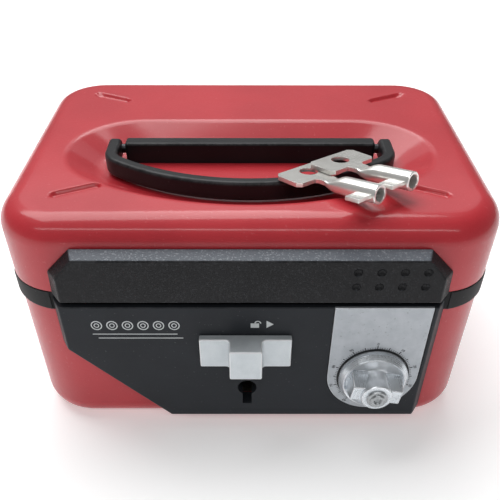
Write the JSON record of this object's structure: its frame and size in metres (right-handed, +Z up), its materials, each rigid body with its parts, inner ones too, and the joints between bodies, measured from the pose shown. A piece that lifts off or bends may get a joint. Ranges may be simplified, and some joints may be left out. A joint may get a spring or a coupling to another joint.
{
  "type": "toy safe coin bank",
  "caption": "Small lockable steel cash box with hinged lid, folding carry handle, sliding latch, combination dial, key lock, coin tray and keys.",
  "frame": {"origin": "centre of the underside of the base", "axes": "+X to the right along the long side, -Y the front with dial and latch, +Z up"},
  "size_m": [0.1526, 0.1361, 0.0888],
  "materials": {
    "red_paint": "satin powder coat",
    "band_plastic": "matt moulded plastic",
    "cover_plastic": "fine sand-textured plastic",
    "panel_plastic": "smooth moulded plastic",
    "plate_silver": "satin aluminium foil plate",
    "slider_silver": "silver-coated plastic",
    "knob_silver": "satin metallic",
    "zinc_steel": "zinc-plated sheet",
    "fastener_steel": "plated",
    "bush_brass": "turned",
    "spring_steel": "bright wire",
    "handle_plastic": "satin moulded plastic",
    "tray_plastic": "matt moulded plastic",
    "key_nickel": "nickel-plated sheet"
  },
  "bodies": {
    "base": {"base_shell": "red_paint", "seam_band": "band_plastic", "lower_panel": "panel_plastic", "dial_plate": "plate_silver", "panel_screws": "fastener_steel", "lock_case": "zinc_steel", "lock_case_screws": "fastener_steel", "key_post": "bush_brass", "spindle_bush": "bush_brass", "bush_nut": "bush_brass", "key_bolt_guide": "zinc_steel", "tray_rests": "zinc_steel", "hinge_base_leaf": "red_paint", "hinge_base_rivets": "fastener_steel", "hinge_pin": "fastener_steel"},
    "lid": {"lid_shell": "red_paint", "upper_cover": "cover_plastic", "cover_screws": "fastener_steel", "striker": "zinc_steel", "striker_rivets": "fastener_steel", "hinge_lid_leaf": "red_paint", "hinge_lid_rivets": "fastener_steel", "handle_strip": "handle_plastic", "handle_screws": "fastener_steel", "handle_washers": "fastener_steel", "handle_pins": "fastener_steel"},
    "handle": {"handle_bail": "handle_plastic"},
    "latch": {"slider_button": "slider_silver", "bolt_plate": "zinc_steel", "slider_screws": "fastener_steel", "latch_spring": "spring_steel"},
    "dial": {"dial_knob": "knob_silver", "knob_cap": "knob_silver", "dial_spindle": "fastener_steel", "drive_cam": "bush_brass", "spindle_clip": "spring_steel"},
    "wheel_one": {"wheel_1": "bush_brass"},
    "wheel_two": {"wheel_2": "bush_brass"},
    "key_bolt_body": {"key_bolt": "zinc_steel"},
    "tray": {"coin_tray": "tray_plastic"},
    "front_key_body": {"front_key": "key_nickel"},
    "rear_key_body": {"rear_key": "key_nickel"}
  },
  "joints": [
    {"name": "lid_hinge", "type": "hinge", "parent": "base", "child": "lid", "pos_m": [0, 0.0597, 0.05665], "axis": [-1, 0, 0], "range_deg": [0, 95]},
    {"name": "handle_pivot", "type": "hinge", "parent": "lid", "child": "handle", "pos_m": [0, -0.0027, 0.0775], "axis": [-1, 0, 0], "range_deg": [0, 90]},
    {"name": "latch_slide", "type": "slide", "parent": "base", "child": "latch", "axis": [1, 0, 0], "range_m": [0, 0.008], "stiffness_N_per_m": 100, "springref_m": -0.006, "deforming": ["latch_spring"]},
    {"name": "dial_turn", "type": "hinge", "parent": "base", "child": "dial", "pos_m": [0.0406, -0.06, 0.0265], "axis": [0, -1, 0], "continuous": true},
    {"name": "wheel_one_turn", "type": "hinge", "parent": "base", "child": "wheel_one", "pos_m": [0.0406, -0.0516, 0.0265], "axis": [0, -1, 0], "continuous": true},
    {"name": "wheel_two_turn", "type": "hinge", "parent": "base", "child": "wheel_two", "pos_m": [0.0406, -0.049, 0.0265], "axis": [0, -1, 0], "continuous": true},
    {"name": "key_bolt_lift", "type": "slide", "parent": "base", "child": "key_bolt_body", "axis": [0, 0, 1], "range_m": [0, 0.0036]},
    {"name": "tray_lift", "type": "slide", "parent": "base", "child": "tray", "axis": [0, 0, 1], "range_m": [0, 0.014]},
    {"name": "front_key_lift", "type": "slide", "parent": "handle", "child": "front_key_body", "axis": [0, 0, 1], "range_m": [0, 0.03]},
    {"name": "rear_key_lift", "type": "slide", "parent": "front_key_body", "child": "rear_key_body", "axis": [0, 0, 1], "range_m": [0, 0.03]}
  ],
  "couplings": [
    {"joint": "wheel_one_turn", "follows": "dial_turn", "ratio": 1},
    {"joint": "wheel_two_turn", "follows": "dial_turn", "ratio": 1}
  ]
}
